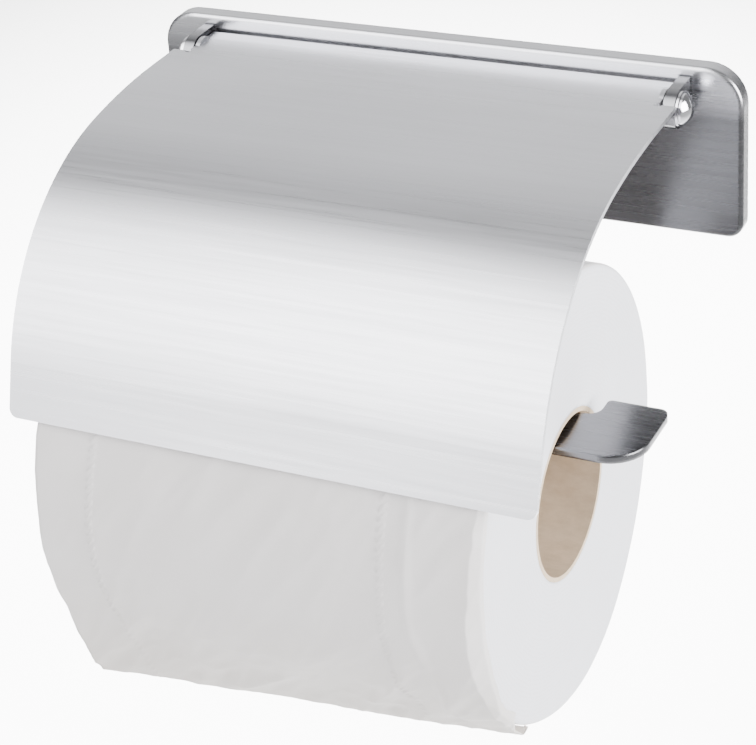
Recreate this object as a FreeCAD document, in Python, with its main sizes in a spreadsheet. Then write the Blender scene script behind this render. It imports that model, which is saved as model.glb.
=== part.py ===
"""Wall-mounted toilet paper holder with a hinged curved cover and a flat hook arm.

Millimetres. The wall is the plane Y = 0 and the holder stands out towards -Y.
+X is to the right of someone facing the wall and +Z is up. The origin is the
middle of the back plate, on the wall.
"""
import FreeCAD, Part

import math
import os

import Sketcher
from FreeCAD import Placement, Rotation, Vector

DRIVING_SIZES = {
    # back plate, a shallow tray that covers the wall bracket
    "plate_width": 140.0,
    "plate_height": 39.0,
    "plate_depth": 4.0,
    "plate_wall": 1.2,
    "plate_top_radius": 8.5,
    "plate_bottom_radius": 3.5,
    "plate_edge_round": 0.9,
    # wall bracket inside the tray
    "bracket_gap": 2.2,
    "bracket_thickness": 1.5,
    "bracket_corner_radius": 1.0,
    "screw_spacing": 90.0,
    "screw_hole_radius": 2.25,
    "block_width": 14.0,
    "block_height": 5.0,
    "block_depth": 2.5,
    "grub_radius": 0.8,
    # hinge
    "hinge_reach": 11.0,
    "hinge_height": 13.0,
    "ear_span": 111.8,
    "ear_radius": 4.0,
    "side_gap": 0.3,
    "lug_thickness": 2.5,
    "lug_radius": 4.3,
    "pin_radius": 1.25,
    "running_clearance": 0.06,
    "head_radius": 3.45,
    "head_land": 0.6,
    "head_dome": 1.7,
    "washer_radius": 3.9,
    "washer_thickness": 0.6,
    "clip_radius": 1.7,
    "clip_thickness": 0.7,
    # cover, one bent sheet
    "cover_width": 119.6,
    "cover_thickness": 1.0,
    "cover_rise": 3.0,
    "cover_rear_gap": 1.2,
    "cover_flat": 21.5,
    "cover_back_radius": 146.0,
    "cover_back_angle": 10.2,
    "cover_front_radius": 54.5,
    "cover_front_angle": 71.8,
    "cover_lip": 12.0,
    "cover_corner_radius": 2.0,
    "notch_clearance": 1.5,
    "notch_gap": 0.5,
    "relief_radius": 0.9,
    # arm, one bent strip
    "arm_thickness": 1.8,
    "arm_width": 14.6,
    "arm_bend_radius": 2.0,
    "leg_gap": 3.1,
    "leg_top": 3.0,
    "leg_foot": 17.0,
    "hook_end": 65.7,
    "hook_length": 21.3,
    "hook_outer_radius": 8.5,
    "hook_tip_radius": 2.2,
    "hook_inner_radius": 3.0,
    "flange_width": 15.0,
    "rivet_radius": 2.0,
    "rivet_head_radius": 3.4,
    "rivet_head_height": 1.5,
    "rivet_tail_height": 0.9,
    # paper roll on its core
    "roll_radius": 49.4,
    "roll_width": 101.6,
    "roll_right": 48.0,
    "roll_reach": 53.0,
    "roll_drop": 59.2,
    "core_radius": 18.0,
    "core_wall": 1.0,
    "core_seat_gap": 0.3,
    "ply_gap": 0.05,
    "tail_thickness": 0.4,
    "tail_start_angle": 120.0,
    "tail_end_angle": 262.0,
    "tail_flap": 15.0,
}

# places that follow from the driving sizes; each is a formula in the sheet
DERIVED_SIZES = {
    "ear_face": "=ear_span / 2",
    "lug_inner": "=ear_face + side_gap",
    "lug_outer": "=lug_inner + lug_thickness",
    "head_seat": "=lug_outer + washer_thickness",
    "clip_outer": "=ear_face - cover_thickness - side_gap",
    "lug_bore": "=pin_radius + running_clearance",
    "cover_level": "=hinge_height + cover_rise",
    "notch_length": "=hinge_reach + lug_radius + notch_clearance - plate_depth - cover_rear_gap",
    "roll_left": "=roll_right - roll_width",
    "leg_inner": "=roll_left - leg_gap",
    "leg_outer": "=leg_inner - arm_thickness",
    "arm_front": "=-roll_reach - arm_width / 2",
    "arm_back": "=-roll_reach + arm_width / 2",
    "arm_top": "=-roll_drop + sqrt((core_radius - core_seat_gap) ^ 2 - (arm_width / 2) ^ 2)",
    "arm_bottom": "=arm_top - arm_thickness",
    "hook_back": "=arm_front + hook_length",
    "bracket_width": "=plate_width - 2 * plate_wall - 2 * bracket_gap",
    "bracket_height": "=plate_height - 2 * plate_wall - 2 * bracket_gap",
}

doc = FreeCAD.newDocument("ToiletPaperHolder")
sheet = doc.addObject("Spreadsheet::Sheet", "Sizes")
for row, (alias, value) in enumerate({**DRIVING_SIZES, **DERIVED_SIZES}.items(), start=1):
    sheet.set("A%d" % row, alias)
    sheet.set("B%d" % row, str(value))
    sheet.setAlias("B%d" % row, alias)
doc.recompute()

nodes = {}


def value_of(expression):
    """The number that an expression over the sheet's aliases gives."""
    result = sheet.evalExpression(expression)
    return float(getattr(result, "Value", result))


def in_sheet(expression):
    """The same expression, as another object has to write it."""
    words = []
    word = ""
    for character in expression + " ":
        if character.isalnum() or character == "_":
            word += character
            continue
        is_alias = word in DRIVING_SIZES or word in DERIVED_SIZES
        words.append(("Sizes." if is_alias else "") + word + character)
        word = ""
    return "".join(words).strip()


def bind(target, prop, expression):
    target.setExpression(prop, in_sheet(expression))


def keep(node, shape_object):
    """Names a finished sub-part and lists it for export."""
    shape_object.Label = node
    nodes[node] = shape_object


def origin_plane(body, role):
    return next(feature for feature in body.Origin.OriginFeatures if feature.Role == role)


def new_sketch(body, name, role, offset=None):
    """An empty sketch on one of the body's own planes, offset along the plane's normal."""
    sketch = body.newObject("Sketcher::SketchObject", name)
    sketch.AttachmentSupport = [(origin_plane(body, role), "")]
    sketch.MapMode = "FlatFace"
    if offset:
        bind(sketch, "AttachmentOffset.Base.z", offset)
    return sketch


def fix_point(sketch, curve, end, corner):
    """Ties one end of a curve to a place given by two expressions."""
    for kind, expression in zip(("DistanceX", "DistanceY"), corner):
        value = value_of(expression)
        index = sketch.addConstraint(Sketcher.Constraint(kind, -1, 1, curve, end, value))
        bind(sketch, "Constraints[%d]" % index, expression)


def polygon_sketch(body, name, role, corners, offset=None):
    """A closed outline whose every corner is bound to the sheet."""
    sketch = new_sketch(body, name, role, offset)
    points = [Vector(value_of(across), value_of(up), 0) for across, up in corners]
    count = len(points)
    for i in range(count):
        sketch.addGeometry(Part.LineSegment(points[i], points[(i + 1) % count]), False)
    for i in range(count):
        sketch.addConstraint(Sketcher.Constraint("Coincident", i, 2, (i + 1) % count, 1))
        fix_point(sketch, i, 1, corners[i])
    return sketch


def pad(body, sketch, length):
    """Adds material on the side that the sketch faces."""
    feature = body.newObject("PartDesign::Pad", sketch.Name + "_pad")
    feature.Profile = sketch
    bind(feature, "Length", length)
    sketch.Visibility = False
    doc.recompute()
    return feature


def round_edges(body, name, base, radius, chosen):
    """A fillet on the base feature's edges that pass a test."""
    names = ["Edge%d" % (i + 1) for i, edge in enumerate(base.Shape.Edges) if chosen(edge)]
    fillet = body.newObject("PartDesign::Fillet", name)
    fillet.Base = (base, names)
    bind(fillet, "Radius", radius)
    doc.recompute()
    return fillet


def near(value, expression):
    return abs(value - value_of(expression)) < 1e-4


def runs_along(edge, axis):
    """True for a straight edge parallel to a row axis, such as "x"."""
    if edge.Curve.TypeId != "Part::GeomLine":
        return False
    return abs(abs(getattr(edge.tangentAt(edge.FirstParameter), axis)) - 1) < 1e-6


def rounded_block(name, margin, depth, top_radius, bottom_radius, start="0"):
    """A plate parallel to the wall, margin in from the back plate's outline."""
    body = doc.addObject("PartDesign::Body", name)
    across = "(plate_width / 2 - %s)" % margin
    up = "(plate_height / 2 - %s)" % margin
    corners = [("-" + across, "-" + up), (across, "-" + up), (across, up), ("-" + across, up)]
    plate = pad(body, polygon_sketch(body, name + "_outline", "XZ_Plane", corners, start), depth)
    bottom = round_edges(body, name + "_bottom", plate, bottom_radius,
                         lambda edge: runs_along(edge, "y") and edge.CenterOfMass.z < 0)
    round_edges(body, name + "_top", bottom, top_radius,
                lambda edge: runs_along(edge, "y") and edge.CenterOfMass.z > 0)
    return body


def place_at(solid, place):
    for letter, expression in zip("xyz", place):
        bind(solid, "Placement.Base." + letter, expression)


def cylinder(name, radius, length, place, axis=Vector(1, 0, 0), angle=None):
    """A Part cylinder from a bound place, along a row axis."""
    solid = doc.addObject("Part::Cylinder", name)
    bind(solid, "Radius", radius)
    bind(solid, "Height", length)
    solid.Placement = Placement(Vector(), Rotation(Vector(0, 0, 1), axis))
    place_at(solid, place)
    if angle:
        bind(solid, "Angle", angle)
    return solid


def block(name, low, high):
    """A Part box between two bound corners."""
    solid = doc.addObject("Part::Box", name)
    for prop, start, end in zip(("Length", "Width", "Height"), low, high):
        bind(solid, prop, "(%s) - (%s)" % (end, start))
    place_at(solid, low)
    return solid


def fuse(name, *solids):
    fused = doc.addObject("Part::MultiFuse", name)
    fused.Shapes = list(solids)
    fused.Refine = True
    return fused


def group(name, *solids):
    """Separate solids that share a node."""
    compound = doc.addObject("Part::Compound", name)
    compound.Links = list(solids)
    return compound


def subtract(name, base, *tools):
    cut = doc.addObject("Part::Cut", name)
    cut.Base = base
    cut.Tool = tools[0] if len(tools) == 1 else fuse(name + "_tools", *tools)
    return cut


def mirrored(name, source):
    """The same piece on the left-hand side."""
    copy = doc.addObject("Part::Mirroring", name)
    copy.Source = source
    copy.Normal = Vector(1, 0, 0)
    return copy


def ring(name, outer, inner, length, place):
    """A washer-like ring about a line along X."""
    over = "10"
    bore_start = (place[0] + " - " + over, place[1], place[2])
    return subtract(name, cylinder(name + "_body", outer, length, place),
                    cylinder(name + "_bore", inner, length + " + 2 * " + over, bore_start))


HINGE = ("-hinge_reach", "hinge_height")
ROLL_AXIS = ("-roll_reach", "-roll_drop")
RIVET_HEIGHTS = ("leg_top - leg_foot * 0.27", "leg_top - leg_foot * 0.73")
RIVET_X = "leg_outer + flange_width * 0.62"
TOWARDS_WALL = Vector(0, 1, 0)
AWAY_FROM_WALL = Vector(0, -1, 0)
UP = Vector(0, 0, 1)


def make_back_plate():
    """A deep-drawn tray with a rounded front rim, open to the wall."""
    blank = rounded_block("TrayBlank", "0", "plate_depth", "plate_top_radius",
                          "plate_bottom_radius")
    round_edges(blank, "tray_front_edge", blank.Tip, "plate_edge_round",
                lambda edge: all(near(v.Y, "-plate_depth") for v in edge.Vertexes))
    tools = [rounded_block("TrayHollow", "plate_wall", "plate_depth - plate_wall",
                           "plate_top_radius - plate_wall",
                           "plate_bottom_radius - plate_wall")]
    for side in ("left", "right"):
        inner, outer = "(lug_inner - ply_gap)", "(lug_outer + ply_gap)"
        low_x, high_x = (inner, outer) if side == "right" else ("-" + outer, "-" + inner)
        tools.append(block("lug_slot_" + side,
                           (low_x, "-plate_depth - 1", "hinge_height - lug_radius - ply_gap"),
                           (high_x, "0", "hinge_height + lug_radius + ply_gap")))
    for i, height in enumerate(RIVET_HEIGHTS):
        tools.append(cylinder("plate_rivet_hole_%d" % i, "rivet_radius + ply_gap",
                              "plate_depth + 1", (RIVET_X, "0", height), AWAY_FROM_WALL))
    tools.append(cylinder("plate_grub_hole", "grub_radius + ply_gap", "plate_wall + 1",
                          ("0", "-block_depth / 2", "-plate_height / 2 - 0.5"), UP))
    keep("back_plate", subtract("BackPlate", blank, *tools))


def make_wall_bracket():
    """The flat bracket that is screwed to the wall; its block takes the grub screw."""
    plate = rounded_block("BracketBlank", "(plate_wall + bracket_gap)", "bracket_thickness",
                          "plate_top_radius - plate_wall - bracket_gap", "bracket_corner_radius")
    floor = "-plate_height / 2 + plate_wall + ply_gap"
    nut = block("bracket_block", ("-block_width / 2", "-block_depth", floor),
                ("block_width / 2", "-ply_gap", floor + " + block_height"))
    tools = [cylinder("bracket_grub_hole", "grub_radius + ply_gap", "block_height + 2",
                      ("0", "-block_depth / 2", floor + " - 1"), UP)]
    for i, side in enumerate(("-", "")):
        tools.append(cylinder("bracket_screw_hole_%d" % i, "screw_hole_radius",
                              "bracket_thickness + 2",
                              (side + "screw_spacing / 2", "1", "0"), AWAY_FROM_WALL))
    keep("wall_bracket", subtract("WallBracket", fuse("bracket_solid", plate, nut), *tools))


def make_grub_screw():
    """The headless screw that holds the tray down on the bracket, from below."""
    low = "-plate_height / 2 + 0.2"
    stem = cylinder("grub_stem", "grub_radius", "block_height",
                    ("0", "-block_depth / 2", low), UP)
    socket = cylinder("grub_socket", "grub_radius / 2", "grub_radius",
                      ("0", "-block_depth / 2", low + " - 0.001"), UP)
    keep("grub_screw", subtract("GrubScrew", stem, socket))


def make_hinge_lug(side):
    """A flat ear with a round end, set through its slot in the back plate."""
    body = doc.addObject("PartDesign::Body", "Lug_" + side)
    start = "lug_inner" if side == "right" else "-lug_outer"
    back = "-plate_depth + plate_wall"
    low = "hinge_height - lug_radius"
    high = "hinge_height + lug_radius"
    corners = [("-hinge_reach - lug_radius", low), (back, low), (back, high),
               ("-hinge_reach - lug_radius", high)]
    plate = pad(body, polygon_sketch(body, "lug_outline_" + side, "YZ_Plane", corners, start),
                "lug_thickness")
    round_edges(body, "lug_end_" + side, plate, "lug_radius - 0.001",
                lambda edge: runs_along(edge, "x") and edge.CenterOfMass.y < value_of(back) - 1)
    bore = cylinder("lug_bore_" + side, "lug_bore", "lug_thickness + 2",
                    (start + " - 1",) + HINGE)
    keep("hinge_lug_" + side, subtract("HingeLug_" + side, body, bore))


def make_hinge_pins():
    """Dome-headed pins through lug and ear, with a washer outside and a clip inside."""
    stem = cylinder("pin_stem", "pin_radius", "head_seat - clip_outer + clip_thickness + 0.6",
                    ("clip_outer - clip_thickness - 0.6",) + HINGE)
    land = cylinder("pin_land", "head_radius", "head_land", ("head_seat",) + HINGE)
    ball = doc.addObject("Part::Sphere", "pin_ball")
    ball_radius = "((head_radius ^ 2 + head_dome ^ 2) / (2 * head_dome))"
    bind(ball, "Radius", ball_radius)
    place_at(ball, ("head_seat + head_land + head_dome - " + ball_radius,) + HINGE)
    cap_room = cylinder("pin_cap_room", "head_radius", "head_dome + 1",
                        ("head_seat + head_land",) + HINGE)
    cap = doc.addObject("Part::Common", "pin_cap")
    cap.Base = ball
    cap.Tool = cap_room
    pin = fuse("HingePinRight", stem, land, cap)
    keep("hinge_pin_right", pin)
    keep("hinge_pin_left", mirrored("HingePinLeft", pin))
    washer = ring("HingeWasherRight", "washer_radius", "pin_radius + ply_gap",
                  "washer_thickness", ("lug_outer",) + HINGE)
    keep("hinge_washers", group("HingeWashers", washer,
                                mirrored("HingeWasherLeft", washer)))
    clip = ring("PinClipRight", "clip_radius", "pin_radius + ply_gap", "clip_thickness",
                ("clip_outer - clip_thickness",) + HINGE)
    keep("pin_clips", group("PinClips", clip, mirrored("PinClipLeft", clip)))


def cover_section(inset):
    """Points and bends of the cover's side view, inset from its outer face.

    Each entry is (end point, middle point or None). The sheet runs level over the
    hinge, then along a wide and a tighter bend, and ends in a straight lip.
    """
    level = value_of("cover_level") - inset
    wide = value_of("cover_back_radius") - inset
    tight = value_of("cover_front_radius") - inset
    wide_end = math.radians(value_of("cover_back_angle"))
    tight_end = math.radians(value_of("cover_front_angle"))
    lip = value_of("cover_lip")
    rear = Vector(0, -value_of("plate_depth + cover_rear_gap"), level)
    flat_end = rear + Vector(0, -value_of("cover_flat"), 0)
    wide_centre = flat_end - Vector(0, 0, wide)

    def on_arc(centre, radius, angle):
        return centre + radius * Vector(0, -math.sin(angle), math.cos(angle))

    wide_stop = on_arc(wide_centre, wide, wide_end)
    tight_centre = on_arc(wide_stop, -tight, wide_end)
    tight_stop = on_arc(tight_centre, tight, tight_end)
    lip_end = tight_stop + lip * Vector(0, -math.cos(tight_end), -math.sin(tight_end))
    return [(rear, None), (flat_end, None),
            (wide_stop, on_arc(wide_centre, wide, wide_end / 2)),
            (tight_stop, on_arc(tight_centre, tight, (wide_end + tight_end) / 2)),
            (lip_end, None)]


def section_edges(section):
    edges = []
    for (start, _), (end, middle) in zip(section, section[1:]):
        if middle is None:
            edges.append(Part.LineSegment(start, end).toShape())
        else:
            edges.append(Part.Arc(start, middle, end).toShape())
    return edges


def make_cover():
    """One bent sheet with an ear turned down inside each hinge lug."""
    thickness = value_of("cover_thickness")
    half = value_of("cover_width / 2")
    outer = cover_section(0)
    inner = cover_section(thickness)
    edges = section_edges(outer) + section_edges(inner)
    for i in (0, -1):
        edges.append(Part.LineSegment(outer[i][0], inner[i][0]).toShape())
    face = Part.Face(Part.Wire(Part.__sortEdges__(edges)))
    sheet_solid = face.extrude(Vector(2 * half, 0, 0))
    sheet_solid.translate(Vector(-half, 0, 0))
    lip_corners = [edge for edge in sheet_solid.Edges
                   if (edge.Vertexes[0].Point - edge.Vertexes[-1].Point).Length < thickness * 1.01
                   and edge.CenterOfMass.y < outer[-1][0].y + thickness]
    sheet_solid = sheet_solid.makeFillet(value_of("cover_corner_radius"), lip_corners)

    ear_face = value_of("ear_face")
    rear_y = outer[0][0].y
    notch_y = rear_y - value_of("notch_length")
    level = value_of("cover_level")
    axis_y, axis_z = (value_of(expression) for expression in HINGE)
    ear_radius = value_of("ear_radius")
    for side in (1, -1):
        notch = Part.makeBox(half, -notch_y, 3 * thickness)
        notch.translate(Vector(ear_face if side > 0 else -ear_face - half, notch_y,
                               level - 2 * thickness))
        inside = ear_face - thickness if side > 0 else -ear_face
        ear = Part.makeCylinder(ear_radius, thickness, Vector(inside, axis_y, axis_z),
                                Vector(1, 0, 0))
        web = Part.makeBox(thickness, 2 * ear_radius, level - axis_z - thickness / 2)
        web.translate(Vector(inside, axis_y - ear_radius, axis_z))
        relief = Part.makeCylinder(value_of("relief_radius"), 3 * thickness,
                                   Vector(side * ear_face, notch_y, level - 2 * thickness))
        bore = Part.makeCylinder(value_of("lug_bore"), 3 * thickness,
                                 Vector(inside - thickness, axis_y, axis_z), Vector(1, 0, 0))
        sheet_solid = sheet_solid.cut(notch).fuse([ear, web]).cut([relief, bore])
    cover = doc.addObject("Part::Feature", "Cover")
    cover.Shape = sheet_solid.removeSplitter()
    keep("cover", cover)


def make_roll_arm():
    """A flat strip under the cover, with a leg to the plate and a hook at its free end."""
    body = doc.addObject("PartDesign::Body", "RollArm")
    bend = "(leg_outer + arm_thickness + arm_bend_radius)"
    strip = [("leg_outer", "arm_bottom"), ("hook_end - 1", "arm_bottom"),
             ("hook_end - 1", "arm_top"), ("leg_inner", "arm_top"),
             ("leg_inner", "arm_top + arm_bend_radius * 2"),
             ("leg_outer", "arm_top + arm_bend_radius * 2")]
    base = pad(body, polygon_sketch(body, "strip_side", "XZ_Plane", strip, "-arm_back"),
               "arm_width")
    inner_bend = round_edges(body, "inner_bend", base, "arm_bend_radius",
                             lambda edge: runs_along(edge, "y")
                             and near(edge.CenterOfMass.x, "leg_inner")
                             and near(edge.CenterOfMass.z, "arm_top"))
    round_edges(body, "outer_bend", inner_bend, "arm_bend_radius + arm_thickness",
                lambda edge: runs_along(edge, "y") and near(edge.CenterOfMass.x, "leg_outer")
                and near(edge.CenterOfMass.z, "arm_bottom"))
    hook_start = "hook_end - arm_width * 0.94"
    hook = [(hook_start, "arm_front"), ("hook_end", "arm_front"), ("hook_end", "hook_back"),
            (hook_start, "hook_back")]
    pad(body, polygon_sketch(body, "hook_plan", "XY_Plane", hook, "arm_bottom"),
        "arm_thickness")
    leg = [("arm_front", "arm_top + arm_bend_radius * 2"),
           ("arm_back", "arm_top + arm_bend_radius * 2"),
           ("arm_back", "arm_top + arm_bend_radius * 2 + 3"),
           ("-plate_depth", "leg_top - leg_foot"), ("-plate_depth", "leg_top"),
           ("-plate_depth - leg_foot", "leg_top"),
           ("arm_front", "arm_top + arm_width")]
    pad(body, polygon_sketch(body, "leg_side", "YZ_Plane", leg, "leg_outer"), "arm_thickness")
    flange = [("leg_outer", "leg_top - leg_foot"), ("leg_outer + flange_width", "leg_top - leg_foot"),
              ("leg_outer + flange_width", "leg_top"), ("leg_outer", "leg_top")]
    pad(body, polygon_sketch(body, "flange_front", "XZ_Plane", flange, "plate_depth"),
        "arm_thickness")
    corners = [("hook_outer_radius", "hook_end", "arm_front"),
               ("hook_tip_radius", "hook_end", "hook_back"),
               ("hook_tip_radius / 2", hook_start, "hook_back"),
               ("hook_inner_radius", hook_start, "arm_back")]
    for i, (radius, x, y) in enumerate(corners):
        round_edges(body, "hook_corner_%d" % i, body.Tip, radius,
                    lambda edge: runs_along(edge, "z") and near(edge.CenterOfMass.x, x)
                    and near(edge.CenterOfMass.y, y))
    round_edges(body, "leg_corners", body.Tip, "hook_inner_radius * 2",
                lambda edge: runs_along(edge, "x") and edge.CenterOfMass.x < value_of("leg_inner")
                and (near(edge.CenterOfMass.z, "leg_top")
                     and near(edge.CenterOfMass.y, "-plate_depth - leg_foot")
                     or near(edge.CenterOfMass.z, "arm_top + arm_width")))
    holes = [cylinder("arm_rivet_hole_%d" % i, "rivet_radius + ply_gap", "arm_thickness + 2",
                      (RIVET_X, "-plate_depth + 1", height), AWAY_FROM_WALL)
             for i, height in enumerate(RIVET_HEIGHTS)]
    keep("roll_arm", subtract("RollArmDrilled", body, *holes))


def make_arm_rivets():
    """Two rivets through the flange and the face of the back plate."""
    rivets = []
    for i, height in enumerate(RIVET_HEIGHTS):
        front = "-plate_depth - arm_thickness"
        back = "-plate_depth + plate_wall"
        head = cylinder("rivet_head_%d" % i, "rivet_head_radius", "rivet_head_height",
                        (RIVET_X, front, height), AWAY_FROM_WALL)
        stem = cylinder("rivet_stem_%d" % i, "rivet_radius", "arm_thickness + plate_wall",
                        (RIVET_X, back, height), AWAY_FROM_WALL)
        tail = cylinder("rivet_tail_%d" % i, "rivet_head_radius", "rivet_tail_height",
                        (RIVET_X, back, height), TOWARDS_WALL)
        rivets.append(fuse("rivet_%d" % i, head, stem, tail))
    keep("arm_rivets", group("ArmRivets", *rivets))


def make_paper_roll():
    """The wound paper, its cardboard core and the loose end of the outer ply."""
    keep("paper_roll", ring("PaperRoll", "roll_radius", "core_radius + core_wall + ply_gap",
                            "roll_width", ("roll_left",) + ROLL_AXIS))
    keep("cardboard_core", ring("CardboardCore", "core_radius + core_wall", "core_radius",
                                "roll_width", ("roll_left",) + ROLL_AXIS))


def make_paper_tail():
    """The outer ply: it follows the roll and leaves it in a straight flap below."""
    inside = value_of("roll_radius + ply_gap")
    thickness = value_of("tail_thickness")
    start, end = (math.radians(value_of(name)) for name in ("tail_start_angle", "tail_end_angle"))
    axis = Vector(value_of("roll_left"), *(value_of(expression) for expression in ROLL_AXIS))

    def outward(angle):
        return Vector(0, math.cos(angle), math.sin(angle))

    def arc(radius):
        return Part.Arc(*(axis + radius * outward(angle)
                          for angle in (start, (start + end) / 2, end))).toShape()

    flap = value_of("tail_flap") * outward(end + math.pi / 2)
    inner_end = axis + inside * outward(end)
    outer_end = axis + (inside + thickness) * outward(end)
    inner_start = axis + inside * outward(start)
    outer_start = axis + (inside + thickness) * outward(start)
    edges = [arc(inside), arc(inside + thickness),
             Part.makeLine(inner_end, inner_end + flap),
             Part.makeLine(inner_end + flap, outer_end + flap),
             Part.makeLine(outer_end + flap, outer_end),
             Part.makeLine(outer_start, inner_start)]
    face = Part.Face(Part.Wire(Part.__sortEdges__(edges)))
    tail = doc.addObject("Part::Feature", "PaperTail")
    tail.Shape = face.extrude(Vector(value_of("roll_width"), 0, 0))
    keep("paper_tail", tail)


make_back_plate()
make_wall_bracket()
make_grub_screw()
make_hinge_lug("left")
make_hinge_lug("right")
make_hinge_pins()
make_cover()
make_roll_arm()
make_arm_rivets()
make_paper_roll()
make_paper_tail()
doc.recompute()

for item in doc.Objects:
    if "Invalid" in item.State or "Error" in item.State:
        raise RuntimeError("%s did not build: %s" % (item.Name, item.State))
for node, piece in nodes.items():
    if piece.Shape.isNull() or not piece.Shape.isValid():
        raise RuntimeError("%s has no valid shape" % node)

os.makedirs("parts", exist_ok=True)
for node, piece in nodes.items():
    piece.Shape.exportStep("parts/%s.step" % node)
    print("%-18s %d solid(s), %9.1f mm3" % (node, len(piece.Shape.Solids), piece.Shape.Volume))
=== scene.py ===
"""Looks of the covered toilet paper holder: brushed steel, paper roll and studio."""

import math

import bpy
from mathutils import Matrix, Vector, noise


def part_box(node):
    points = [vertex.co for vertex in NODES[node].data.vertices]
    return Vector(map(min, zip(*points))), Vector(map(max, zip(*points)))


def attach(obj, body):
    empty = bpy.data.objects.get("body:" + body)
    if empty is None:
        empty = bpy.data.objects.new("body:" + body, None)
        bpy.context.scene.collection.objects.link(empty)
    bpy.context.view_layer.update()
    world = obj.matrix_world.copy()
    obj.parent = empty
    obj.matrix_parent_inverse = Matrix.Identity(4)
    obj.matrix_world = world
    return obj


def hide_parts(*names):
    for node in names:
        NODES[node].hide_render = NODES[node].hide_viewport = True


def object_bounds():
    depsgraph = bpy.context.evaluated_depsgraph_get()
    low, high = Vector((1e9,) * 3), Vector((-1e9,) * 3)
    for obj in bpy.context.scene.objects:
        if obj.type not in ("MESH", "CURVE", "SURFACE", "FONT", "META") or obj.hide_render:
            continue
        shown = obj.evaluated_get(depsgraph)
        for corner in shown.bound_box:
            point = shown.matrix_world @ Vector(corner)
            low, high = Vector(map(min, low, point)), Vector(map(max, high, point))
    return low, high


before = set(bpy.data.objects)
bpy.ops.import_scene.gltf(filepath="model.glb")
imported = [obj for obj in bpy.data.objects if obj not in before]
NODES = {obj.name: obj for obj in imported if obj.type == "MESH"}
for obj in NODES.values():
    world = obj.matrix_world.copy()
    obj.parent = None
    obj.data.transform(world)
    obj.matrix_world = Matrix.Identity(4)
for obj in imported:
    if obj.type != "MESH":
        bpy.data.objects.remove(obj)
cad_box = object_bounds()

MM = 0.001
ROLL_LOW, ROLL_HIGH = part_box("paper_roll")
CORE_LOW, CORE_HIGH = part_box("cardboard_core")
ROLL_RADIUS = (ROLL_HIGH.z - ROLL_LOW.z) / 2
BORE_RADIUS = (CORE_HIGH.z - CORE_LOW.z) / 2 + 0.05 * MM
ROLL_AXIS = (ROLL_LOW + ROLL_HIGH) / 2

# camera: where it looks, from where, and how long its lens is
CAMERA_TARGET = Vector((-2.4, -40.0, -45.8)) * MM
CAMERA_AZIMUTH = math.radians(28.2)
CAMERA_ELEVATION = math.radians(30.2)
CAMERA_ROLL = math.radians(-5.1)
CAMERA_DISTANCE = 500.2 * MM
CAMERA_LENS = 107.0
IMAGE_SENSOR = 36.0


# ---------------------------------------------------------------- materials

class Shader:
    """A node material around one Principled shader, built by short calls."""

    def __init__(self, name, color, roughness, metallic=0.0):
        self.material = bpy.data.materials.new(name)
        self.material.use_nodes = True
        self.tree = self.material.node_tree
        self.main = self.tree.nodes["Principled BSDF"]
        self.set("Base Color", (*color, 1.0))
        self.set("Roughness", roughness)
        self.set("Metallic", metallic)
        self.height = None

    def set(self, socket, value):
        self.main.inputs[socket].default_value = value

    def add(self, kind, **values):
        node = self.tree.nodes.new(kind)
        for key, value in values.items():
            if key in node.inputs:
                node.inputs[key].default_value = value
            else:
                setattr(node, key, value)
        return node

    def link(self, source, target):
        self.tree.links.new(source, target)

    def place(self, scale=(1, 1, 1)):
        """Object coordinates, stretched."""
        coords = self.add("ShaderNodeTexCoord")
        mapping = self.add("ShaderNodeMapping")
        mapping.inputs["Scale"].default_value = scale
        self.link(coords.outputs["Object"], mapping.inputs["Vector"])
        return mapping.outputs["Vector"]

    def noise(self, scale, stretch=(1, 1, 1), detail=4.0, roughness=0.55):
        texture = self.add("ShaderNodeTexNoise")
        texture.inputs["Scale"].default_value = scale
        texture.inputs["Detail"].default_value = detail
        texture.inputs["Roughness"].default_value = roughness
        self.link(self.place(stretch), texture.inputs["Vector"])
        return texture.outputs["Fac"]

    def ramp(self, fac, low, high, start=0.3, stop=0.7):
        """A colour or grey band between two values of a texture."""
        node = self.add("ShaderNodeValToRGB")
        for element, position, value in zip(node.color_ramp.elements, (start, stop), (low, high)):
            element.position = position
            element.color = (*value, 1.0) if hasattr(value, "__len__") else (value,) * 3 + (1.0,)
        self.link(fac, node.inputs["Fac"])
        return node.outputs["Color"]

    def by_height(self, low_z, high_z, low, high):
        """A grey or colour that changes with the height in the object."""
        split = self.add("ShaderNodeSeparateXYZ")
        self.link(self.place(), split.inputs["Vector"])
        share = self.add("ShaderNodeMapRange")
        share.inputs["From Min"].default_value = low_z
        share.inputs["From Max"].default_value = high_z
        self.link(split.outputs["Z"], share.inputs["Value"])
        return self.ramp(share.outputs["Result"], low, high, 0.0, 1.0)

    def mix(self, first, second, fac, blend="MIX"):
        node = self.add("ShaderNodeMix", data_type="RGBA", blend_type=blend)
        node.inputs[0].default_value = fac
        self.link(first, node.inputs[6])
        self.link(second, node.inputs[7])
        return node.outputs[2]

    def color(self, output):
        self.link(output, self.main.inputs["Base Color"])

    def rough(self, output):
        self.link(output, self.main.inputs["Roughness"])

    def bump(self, output, strength, distance):
        """Adds a layer of relief on top of those already there."""
        node = self.add("ShaderNodeBump")
        node.inputs["Strength"].default_value = strength
        node.inputs["Distance"].default_value = distance
        self.link(output, node.inputs["Height"])
        if self.height:
            self.link(self.height, node.inputs["Normal"])
        self.height = node.outputs["Normal"]
        self.link(self.height, self.main.inputs["Normal"])


# brushed steel: its cool tint, how dark its lines, bands and patches are, and the heights between which
# the painted shade on the lower part of a sheet fades
COOL_TINT = (0.975, 0.98, 1.03)
LINE_SHADE = 0.10
BAND_SHADE = 0.05
PATCH_SHADE = 0.06
PAINTED_SHADE_HEIGHTS = (8.0 * MM, 18.4 * MM)


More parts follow.
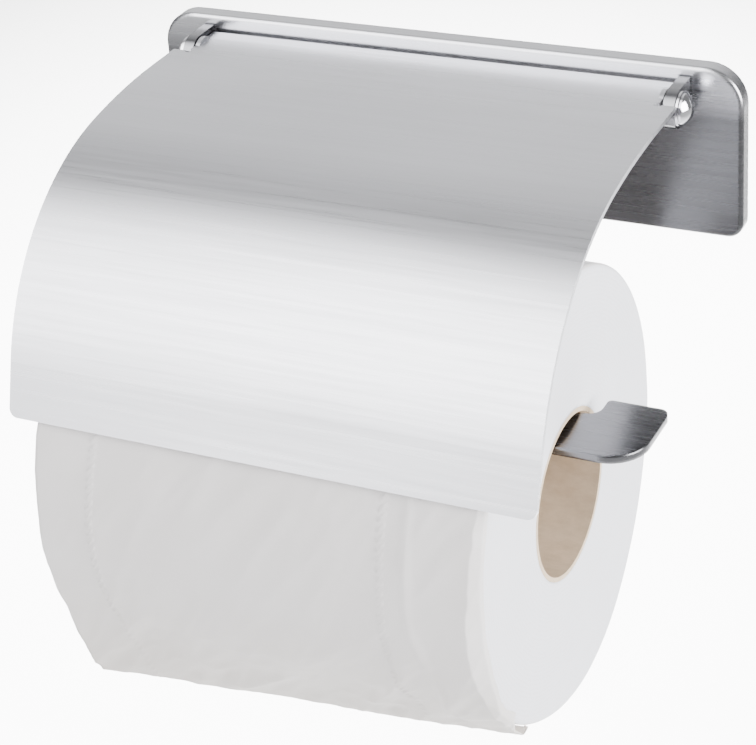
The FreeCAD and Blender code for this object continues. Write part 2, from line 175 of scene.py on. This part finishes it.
def brushed_steel(name, tone, roughness, line_depth=1.0, painted_shade_tone=1.0, edge_round=0.0):
    """Stainless sheet brushed along X, with fine lines, a soft mottling and, if asked, a painted shade
    on its lower part.
    """
    shader = Shader(name, (tone,) * 3, roughness, 1.0)
    if edge_round:
        rounding = shader.add("ShaderNodeBevel", samples=8)
        rounding.inputs["Radius"].default_value = edge_round
        shader.height = rounding.outputs["Normal"]
    fine = shader.noise(900.0, (0.02, 1.0, 1.0), 6.0, 0.7)
    broad = shader.noise(260.0, (0.012, 1.0, 1.0), 3.0)
    clouds = shader.noise(28.0, (0.45, 1.0, 1.0), 2.0)
    cool = [tone * tint for tint in COOL_TINT]
    dark_lines = [value * (1 - LINE_SHADE * line_depth) for value in cool]
    dark_bands = [value * (1 - BAND_SHADE * line_depth) for value in cool]
    lines = shader.ramp(fine, dark_lines, cool, 0.36, 0.6)
    bands = shader.ramp(broad, dark_bands, cool, 0.35, 0.65)
    patches = shader.ramp(clouds, 1.0 - PATCH_SHADE, 1.0, 0.35, 0.65)
    both = shader.mix(lines, bands, 0.5)
    color = shader.mix(both, patches, 1.0, "MULTIPLY")
    # painted shade: darkens the lower part of the sheet, standing in for the reflection of shaded
    # surroundings
    if painted_shade_tone < 1.0:
        shade = shader.by_height(*PAINTED_SHADE_HEIGHTS, painted_shade_tone, 1.0)
        color = shader.mix(color, shade, 1.0, "MULTIPLY")
    shader.color(color)
    shader.rough(shader.ramp(fine, roughness * 0.85, roughness * 1.2, 0.35, 0.65))
    shader.bump(fine, 0.10 * line_depth, 0.03 * MM)
    shader.bump(broad, 0.06 * line_depth, 0.05 * MM)
    return shader.material


def polished_steel():
    shader = Shader("polished_steel", (0.66, 0.66, 0.69), 0.08, 1.0)
    wear = shader.noise(500.0, (1, 1, 1), 4.0)
    shader.rough(shader.ramp(wear, 0.06, 0.14))
    shader.bump(wear, 0.05, 0.02 * MM)
    return shader.material


def zinc_steel():
    shader = Shader("zinc_steel", (0.55, 0.55, 0.54), 0.4, 1.0)
    grain = shader.noise(120.0, (1, 1, 1), 5.0)
    shader.color(shader.ramp(grain, (0.50, 0.50, 0.49), (0.55, 0.55, 0.55)))
    shader.rough(shader.ramp(grain, 0.33, 0.5))
    return shader.material


# tissue: the warm tint and painted shade of its lower part, and the heights between which it fades
TISSUE_PAINTED_SHADE_TINT = (0.87, 0.845, 0.80)
TISSUE_PAINTED_SHADE_HEIGHTS = (-112.0 * MM, -65.0 * MM)


def tissue(name, light, shade):
    """Soft tissue: creped, slightly cloudy, warmer and darker towards its foot by a painted shade, and
    without shine.
    """
    shader = Shader(name, light, 0.95)
    shader.set("Specular IOR Level", 0.15)
    shader.set("Sheen Weight", 0.25)
    shader.set("Sheen Roughness", 0.6)
    clouds = shader.ramp(shader.noise(35.0, (1, 1, 1), 4.0), shade, light, 0.3, 0.62)
    # painted shade: the lower part of the paper is made darker and slightly warmer
    warm_painted_shade = shader.by_height(*TISSUE_PAINTED_SHADE_HEIGHTS, TISSUE_PAINTED_SHADE_TINT, (1.0, 1.0, 1.0))
    shader.color(shader.mix(clouds, warm_painted_shade, 1.0, "MULTIPLY"))
    fibres = shader.noise(1500.0, (0.35, 1, 1), 5.0, 0.7)
    shader.bump(fibres, 0.4, 0.08 * MM)
    dimples = shader.noise(420.0, (1, 1, 1), 3.0)
    shader.bump(dimples, 0.35, 0.16 * MM)
    return shader.material


def roll_face():
    """Cut edges of the plies: near white, with faint rings round the roll's axis."""
    shader = Shader("paper_edges", (0.88, 0.88, 0.90), 0.9)
    shader.set("Specular IOR Level", 0.15)
    coords = shader.add("ShaderNodeTexCoord")
    shift = shader.add("ShaderNodeMapping")
    shift.inputs["Location"].default_value = (0, -ROLL_AXIS.y, -ROLL_AXIS.z)
    shader.link(coords.outputs["Object"], shift.inputs["Vector"])
    rings = shader.add("ShaderNodeTexWave", wave_type="RINGS", rings_direction="X")
    rings.inputs["Scale"].default_value = 330.0
    rings.inputs["Distortion"].default_value = 2.5
    rings.inputs["Detail"].default_value = 3.0
    rings.inputs["Detail Scale"].default_value = 1.2
    shader.link(shift.outputs["Vector"], rings.inputs["Vector"])
    plies = shader.ramp(rings.outputs["Fac"], (0.855, 0.86, 0.91), (0.885, 0.89, 0.94), 0.1, 0.9)
    clouds = shader.ramp(shader.noise(40.0), 0.975, 1.0, 0.35, 0.6)
    shader.color(shader.mix(plies, clouds, 1.0, "MULTIPLY"))
    shader.bump(rings.outputs["Fac"], 0.12, 0.08 * MM)
    shader.bump(shader.noise(700.0), 0.2, 0.05 * MM)
    return shader.material


def cardboard():
    """Grey-brown board with darker fibres and soft clouds."""
    shader = Shader("cardboard", (0.6, 0.5, 0.38), 0.85)
    fibres = shader.noise(420.0, (0.5, 1, 1), 6.0, 0.7)
    board = shader.ramp(fibres, (0.60, 0.455, 0.315), (0.74, 0.59, 0.43), 0.3, 0.7)
    clouds = shader.ramp(shader.noise(60.0), 0.9, 1.0, 0.3, 0.6)
    shader.color(shader.mix(board, clouds, 1.0, "MULTIPLY"))
    shader.bump(fibres, 0.3, 0.08 * MM)
    return shader.material


BEVEL_SEGMENTS = 3
BEVEL_ANGLE = math.radians(50)


def give(node_names, material, bevel=0.0):
    """A material, and softened edges, for nodes that keep their CAD shape."""
    for name in node_names:
        node = NODES[name]
        node.data.materials.clear()
        node.data.materials.append(material)
        if bevel:
            soft = node.modifiers.new("soft_edges", "BEVEL")
            soft.width = bevel
            soft.segments = BEVEL_SEGMENTS
            soft.limit_method = "ANGLE"
            soft.angle_limit = BEVEL_ANGLE
            soft.use_clamp_overlap = False
            soft.harden_normals = False


# ---------------------------------------------------------------- paper

def grid_mesh(name, columns, rows, point, closed=False):
    """A quad mesh with a vertex at point(column share, row share) for each pair."""
    vertices = [point(across, along) for along in rows for across in columns]
    count, rounds = len(columns), len(rows)
    faces = []
    for j in range(rounds if closed else rounds - 1):
        for i in range(count - 1):
            a = j * count + i
            b = (j + 1) % rounds * count + i
            faces.append((a, a + 1, b + 1, b))
    mesh = bpy.data.meshes.new(name)
    mesh.from_pydata(vertices, [], faces)
    mesh.update()
    for polygon in mesh.polygons:
        polygon.use_smooth = True
    piece = bpy.data.objects.new(name, mesh)
    bpy.context.scene.collection.objects.link(piece)
    return piece


def around_roll(x, radius, angle):
    """A point at a distance from the roll's axis; 180 degrees is the front, 270 the bottom."""
    return Vector((x, ROLL_AXIS.y + radius * math.cos(angle), ROLL_AXIS.z + radius * math.sin(angle)))


# both rims of the roll are rounded, the right one more where it is pressed at the front
SHOULDER = 1.3 * MM
PRESSED_SHOULDER = 2.3 * MM
RIM_PRESS = (188, 26)
# the plies hang slack low at the back; both places are an angle and a spread in degrees
SLACK = (286, 35)
SLACK_DEPTH = 4.5 * MM
SWELL_DEPTH = 0.25 * MM
PLY_STEP = 0.08 * MM
SAG_DEPTH = 0.12 * MM


def swelling(angle, middle, spread):
    """A smooth rise to 1 about one angle of the roll, in degrees."""
    return math.exp(-((math.degrees(angle) % 360 - middle) / spread) ** 2)


def wave(x, y, z=0.0):
    """Smooth unevenness, the same on every run."""
    return noise.noise(Vector((x, y, z)))


def make_roll(paper, edges):
    """The wound paper: soft shoulders, slightly uneven faces and an open bore."""
    face_steps, bend_steps, side_steps, bore_steps, turn_steps = 36, 6, 40, 8, 240
    face = [k / face_steps for k in range(face_steps + 1)]
    bend = [math.pi / 2 * k / bend_steps for k in range(1, bend_steps + 1)]
    stations = [("left", k, 0) for k in face] + [("left", 1, t) for t in bend]
    stations += [("side", k / side_steps, 0) for k in range(1, side_steps)]
    stations += [("right", 1, t) for t in reversed(bend)] + [("right", k, 0) for k in reversed(face)]
    stations += [("bore", k / bore_steps, 0) for k in range(1, bore_steps + 1)]
    last = len(stations) - 1

    def outline(part, share, turn, angle):
        """Radius and x of one point of the roll's outline."""
        shoulder = SHOULDER + PRESSED_SHOULDER * swelling(angle, *RIM_PRESS)
        if part == "bore":
            return BORE_RADIUS, ROLL_HIGH.x + (ROLL_LOW.x - ROLL_HIGH.x) * share
        if part == "side":
            start, stop = ROLL_LOW.x + SHOULDER, ROLL_HIGH.x - shoulder
            return ROLL_RADIUS, start + (stop - start) * share
        side = 1 if part == "right" else -1
        round_off = shoulder if part == "right" else SHOULDER
        face_x = ROLL_HIGH.x if part == "right" else ROLL_LOW.x
        radius = BORE_RADIUS + (ROLL_RADIUS - round_off - BORE_RADIUS) * share
        x = face_x - side * round_off * (1 - math.cos(turn))
        return radius + round_off * math.sin(turn), x

    def point(across, around):
        angle = around * 2 * math.pi
        radius, x = outline(*stations[round(across * last)], angle)
        place = around_roll(x, radius, angle)
        depth = (radius - BORE_RADIUS) / (ROLL_RADIUS - BORE_RADIUS)
        swell = noise.noise(place * 45.0) * SWELL_DEPTH
        ply = wave(radius * 900.0, angle * 0.7, x * 3.0) * PLY_STEP
        inward = -1 if x > 0 else 1
        shift = inward * abs(swell + ply) * (0.2 + 0.8 * depth) if depth > 0.001 else 0.0
        sag = wave(x * 30.0, math.cos(angle), math.sin(angle)) * SAG_DEPTH
        hang = SLACK_DEPTH * swelling(angle, *SLACK) - abs(sag)
        return around_roll(x + shift, radius + hang * max(depth, 0), angle)

    roll = grid_mesh("wound_paper", [k / last for k in range(last + 1)],
                     [k / turn_steps for k in range(turn_steps)], point, closed=True)
    roll.data.materials.append(paper)
    roll.data.materials.append(edges)
    for polygon in roll.data.polygons:
        polygon.material_index = 1 if abs(polygon.normal.x) > 0.6 else 0
    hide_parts("paper_roll")
    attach(roll, "roll")
    return roll


# the outer ply: where it starts, and at each end of its width where it leaves the roll
# and how much of it hangs free
TAIL_START = math.radians(120)
TAIL_LEAVES = (math.radians(200), math.radians(223))
TAIL_FREE = (33.5 * MM, 21.0 * MM)
TAIL_STANDOFF = 0.3 * MM
TAIL_CURL = 2.4 * MM
TAIL_THICKNESS = 0.12 * MM
TORN_DEPTH = 0.25 * MM
# over how much free length it comes to hang loose, and where it lifts off the roll first
LOOSE_LENGTH = 20.0 * MM
PRESSED_LENGTH = 16.0 * MM
LOOSENING = (185, 40)
# its two columns of pressed strokes
TICK_COLUMNS = (13.5 * MM, 80.4 * MM)
TICK_PITCH = 2.1 * MM
TICK_HALF_WIDTH = 0.95 * MM
TICK_THICKNESS = 0.36 * MM
TICK_DEPTH = 0.55 * MM
TICK_WANDER = 1.2 * MM
TICK_SLANT = 0.9
# its long fold line
FOLD_X = 33.0 * MM
FOLD_DRIFT = 6.0 * MM
FOLD_DEPTH = 0.42 * MM
FOLD_WIDTH = 0.9 * MM
FOLD_WANDER = 2.5 * MM
# its right rim, bent over the roll's, the width that this takes up, and its lifted left rim
RIM_WIDTH = 5.5 * MM
RIM_FOLD = math.radians(38)
SPARE_WIDTH = 2.4 * MM
LEFT_WIDTH = 9.0 * MM
LEFT_LIFT = 0.5 * MM


def between(pair, share):
    return pair[0] + (pair[1] - pair[0]) * share


def tick_relief(x, along):
    """Short slanted strokes pressed into the ply in two columns."""
    relief = 0.0
    for column in TICK_COLUMNS:
        wander = wave(along * 25.0, column * 90.0) * TICK_WANDER
        offset = x - ROLL_LOW.x - column - wander
        if abs(offset) < TICK_HALF_WIDTH:
            beat = (along + TICK_SLANT * offset) % TICK_PITCH - TICK_PITCH / 2
            stroke = math.exp(-(beat / TICK_THICKNESS) ** 2)
            relief += TICK_DEPTH * stroke * (1 - (offset / TICK_HALF_WIDTH) ** 2)
    return relief


def crease_relief(x, along, fall):
    """Soft slanting wrinkles, deeper towards the torn end, and one long fold line."""
    slant = Vector((x * 75.0 + along * 55.0, along * 22.0 - x * 18.0, 1.7))
    broad = 0.5 - abs(noise.noise(slant))
    small = 0.5 - abs(noise.noise(slant * 2.7 + Vector((4.0, 1.0, 0))))
    relief = (broad * (0.9 + 1.3 * fall) + small * (0.35 + 0.7 * fall)) * MM
    fold_x = FOLD_X + FOLD_DRIFT * fall + wave(along * 40.0, 8.0) * FOLD_WANDER
    return relief + FOLD_DEPTH * math.exp(-((x - fold_x) / FOLD_WIDTH) ** 2)


def tail_columns(width):
    """Shares across the ply, closer together at the pressed strokes and the right rim."""
    places = [k * 0.75 * MM for k in range(int(width / (0.75 * MM)) + 1)]
    for column in TICK_COLUMNS:
        places += [column + k * 0.2 * MM for k in range(-9, 10)]
    places += [width - k * 0.22 * MM for k in range(28)]
    rounded = sorted({round(place / width, 4) for place in places})
    return [share for share in rounded if share <= 1.0]


def make_tail(paper):
    """The outer ply: over the front of the roll, then free down to its torn end."""
    width = ROLL_HIGH.x - ROLL_LOW.x + SPARE_WIDTH
    radius = ROLL_RADIUS + TAIL_STANDOFF

    def rim(x, angle, ragged):
        """Folds the right rim over the roll's shoulder; gives x and the drop inward."""
        pressed_round = swelling(angle, *RIM_PRESS)
        reach = (0.9 + 1.7 * pressed_round + 0.45 * ragged) * MM
        edge = ROLL_HIGH.x + 0.3 * MM
        over = x - (edge - reach)
        if over <= 0:
            return x, 0.0
        slope = reach / math.cos(RIM_FOLD)
        beyond = max(0.0, over - slope)
        over = min(over, slope)
        return edge - reach + over * math.cos(RIM_FOLD), over * math.sin(RIM_FOLD) + beyond

    def point(across, down):
        leaves, free = between(TAIL_LEAVES, across), between(TAIL_FREE, across)
        arc_length = radius * (leaves - TAIL_START)
        torn = wave(across * 9.0, 2.0) * TORN_DEPTH
        along = (arc_length + free + torn) * down
        angle = TAIL_START + min(along, arc_length) / radius
        hanging = max(0.0, along - arc_length)
        outward = Vector((0, math.cos(angle), math.sin(angle)))
        run = Vector((0, -math.sin(angle), math.cos(angle)))
        loosening = max(0.0, (math.degrees(angle) - LOOSENING[0]) / LOOSENING[1])
        fall = min(1.0, loosening + hanging / LOOSE_LENGTH)
        x = ROLL_LOW.x + width * across
        ragged = wave(along * 120.0, 3.1) + 0.6 * wave(along * 330.0, 9.0)
        left = max(0.0, 1 - across * width / LEFT_WIDTH)
        pressed = max(0.0, 1 - hanging / PRESSED_LENGTH)
        bent_x, drop = rim(x, angle, ragged)
        near_rim = min(1.0, max(0.0, (x - ROLL_HIGH.x - SPARE_WIDTH) / RIM_WIDTH + 1))
        lift = crease_relief(x, along, fall) + tick_relief(x, along) * (1 - 0.6 * fall)
        to_end = (arc_length + free + torn) * (1 - down)
        lift *= min(1.0, 0.15 + to_end / (8 * MM))
        lift += near_rim ** 2 * (0.35 + ragged) * fall * (0.25 + 0.85 * pressed) * MM
        lift += left ** 2 * fall * LEFT_LIFT
        place = around_roll(x, radius, angle) + run * hanging
        loose_x = x - near_rim * (SPARE_WIDTH + (4.2 - 0.4 * ragged) * MM)
        place.x = bent_x * pressed + loose_x * (1 - pressed)
        place -= outward * drop * pressed
        if to_end < TAIL_CURL:
            place -= outward * (TAIL_CURL - to_end) ** 2 / TAIL_CURL * 0.9
        return place + outward * max(lift, 0.0)

    mean_length = radius * (sum(TAIL_LEAVES) / 2 - TAIL_START) + sum(TAIL_FREE) / 2
    rows = int(mean_length / (0.34 * MM))
    tail = grid_mesh("outer_ply", tail_columns(width), [k / rows for k in range(rows + 1)], point)
    tail.data.materials.append(paper)
    thick = tail.modifiers.new("ply", "SOLIDIFY")
    thick.thickness = TAIL_THICKNESS
    thick.offset = -1
    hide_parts("paper_tail")
    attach(tail, "roll")
    return tail


# ---------------------------------------------------------------- studio

def make_camera():
    back = Vector((math.sin(CAMERA_AZIMUTH) * math.cos(CAMERA_ELEVATION),
                   -math.cos(CAMERA_AZIMUTH) * math.cos(CAMERA_ELEVATION),
                   math.sin(CAMERA_ELEVATION)))
    right = Vector((math.cos(CAMERA_AZIMUTH), math.sin(CAMERA_AZIMUTH), 0))
    up = back.cross(right)
    tilt_right = right * math.cos(CAMERA_ROLL) + up * math.sin(CAMERA_ROLL)
    tilt_up = up * math.cos(CAMERA_ROLL) - right * math.sin(CAMERA_ROLL)
    data = bpy.data.cameras.new("camera")
    data.lens = CAMERA_LENS
    data.sensor_width = IMAGE_SENSOR
    data.clip_start = 0.01
    camera = bpy.data.objects.new("camera", data)
    axes = Matrix((tilt_right, tilt_up, back)).transposed()
    camera.matrix_world = Matrix.Translation(CAMERA_TARGET + back * CAMERA_DISTANCE) @ axes.to_4x4()
    bpy.context.scene.collection.objects.link(camera)
    bpy.context.scene.camera = camera


def make_light(name, place, target, size, power):
    data = bpy.data.lights.new(name, "AREA")
    data.shape = "RECTANGLE"
    data.size, data.size_y = size
    data.energy = power
    light = bpy.data.objects.new(name, data)
    light.location = place
    light.rotation_euler = (Vector(target) - Vector(place)).to_track_quat("-Z", "Y").to_euler()
    bpy.context.scene.collection.objects.link(light)


FLOOR_DROP = 1.0
FLOOR_HALF = 6.0


def make_floor():
    level = cad_box[0].z - FLOOR_DROP
    mesh = bpy.data.meshes.new("floor")
    corners = [(x * FLOOR_HALF, y * FLOOR_HALF, level) for x, y in ((-1, -1), (1, -1), (1, 1), (-1, 1))]
    mesh.from_pydata(corners, [], [(0, 1, 2, 3)])
    floor = bpy.data.objects.new("floor", mesh)
    bpy.context.scene.collection.objects.link(floor)
    shader = Shader("floor_paint", (0.62, 0.62, 0.62), 0.9)
    shader.set("Specular IOR Level", 0.1)
    mesh.materials.append(shader.material)


# soft glows of the studio, tall and narrow: how far to the side they lie, how much
# narrower than tall they are, their height in degrees over the front horizon,
# their half height in degrees, and their brightness
WORLD_BASE = 0.31
WORLD_GLOWS = (
    (-0.43, 3.4, 38, 60, 9.3),
    (-0.43, 1.4, 150, 62, 1.0),
)


def add_glow(tree, coords, side, narrowing, height, spread):
    """One glow of the studio, from 0 at its border to 1 in its middle."""
    squeeze = tree.nodes.new("ShaderNodeVectorMath")
    squeeze.operation = "MULTIPLY_ADD"
    squeeze.inputs[1].default_value = (narrowing, 1, 1)
    squeeze.inputs[2].default_value = (-side * narrowing, 0, 0)
    tree.links.new(coords.outputs["Generated"], squeeze.inputs[0])
    unit = tree.nodes.new("ShaderNodeVectorMath")
    unit.operation = "NORMALIZE"
    tree.links.new(squeeze.outputs["Vector"], unit.inputs[0])
    aim = tree.nodes.new("ShaderNodeVectorMath")
    aim.operation = "DOT_PRODUCT"
    upward = math.radians(height)
    aim.inputs[1].default_value = (0, -math.cos(upward), math.sin(upward))
    tree.links.new(unit.outputs["Vector"], aim.inputs[0])
    glow = tree.nodes.new("ShaderNodeMapRange")
    glow.interpolation_type = "SMOOTHSTEP"
    glow.inputs["From Min"].default_value = math.cos(math.radians(spread))
    glow.inputs["From Max"].default_value = 1.0
    tree.links.new(aim.outputs["Value"], glow.inputs["Value"])
    return glow.outputs["Result"]


def make_world():
    world = bpy.data.worlds.new("studio")
    bpy.context.scene.world = world
    world.use_nodes = True
    tree = world.node_tree
    background = tree.nodes["Background"]
    background.inputs["Color"].default_value = (1.0, 1.0, 1.0, 1.0)
    coords = tree.nodes.new("ShaderNodeTexCoord")
    total = None
    for *shape, peak in WORLD_GLOWS:
        # the first glow starts from the base and its middle is its full brightness
        base = 0.0 if total else WORLD_BASE
        level = tree.nodes.new("ShaderNodeMath")
        level.operation = "MULTIPLY_ADD"
        level.inputs[1].default_value = peak - base
        level.inputs[2].default_value = base
        tree.links.new(add_glow(tree, coords, *shape), level.inputs[0])
        if total:
            together = tree.nodes.new("ShaderNodeMath")
            tree.links.new(total, together.inputs[0])
            tree.links.new(level.outputs[0], together.inputs[1])
            level = together
        total = level.outputs[0]
    tree.links.new(total, background.inputs["Strength"])


steel = brushed_steel("brushed_steel", 0.74, 0.30)
# the back plate's lower front is darkened by painted shade, a painted reflection of the roll's shaded
# top
plate_steel = brushed_steel("brushed_plate", 0.66, 0.26, 1.1, painted_shade_tone=0.2, edge_round=0.7 * MM)
# the arm's dark steel tone is painted shade, for the shade under the cover
arm_steel_painted_shade = brushed_steel("brushed_arm_painted_shade", 0.19, 0.25, 0.5, edge_round=0.9 * MM)
lug_steel = brushed_steel("brushed_lug", 0.24, 0.22, 0.5)
tissue_side = tissue("tissue_side", (0.83, 0.802, 0.80), (0.80, 0.768, 0.76))

give(["cover"], steel, 0.18 * MM)
give(["hinge_lug_left", "hinge_lug_right"], lug_steel, 0.3 * MM)
give(["back_plate"], plate_steel, 0.12 * MM)
give(["roll_arm"], arm_steel_painted_shade)
give(["hinge_pin_left", "hinge_pin_right", "hinge_washers", "arm_rivets"], polished_steel(), 0.12 * MM)
give(["wall_bracket", "grub_screw", "pin_clips"], zinc_steel())
give(["cardboard_core"], cardboard(), 0.2 * MM)
wound = make_roll(tissue_side, roll_face())
make_tail(tissue_side)

make_floor()
make_world()
make_light("right_softbox", (1.38, -0.14, 0.32), (0, -0.05, -0.05), (1.0, 1.0), 66.0)
make_light("floor_wash", (-0.8, 1.5, -0.35), (-0.8, 1.5, -1.1), (2.2, 2.6), 430.0)
make_camera()
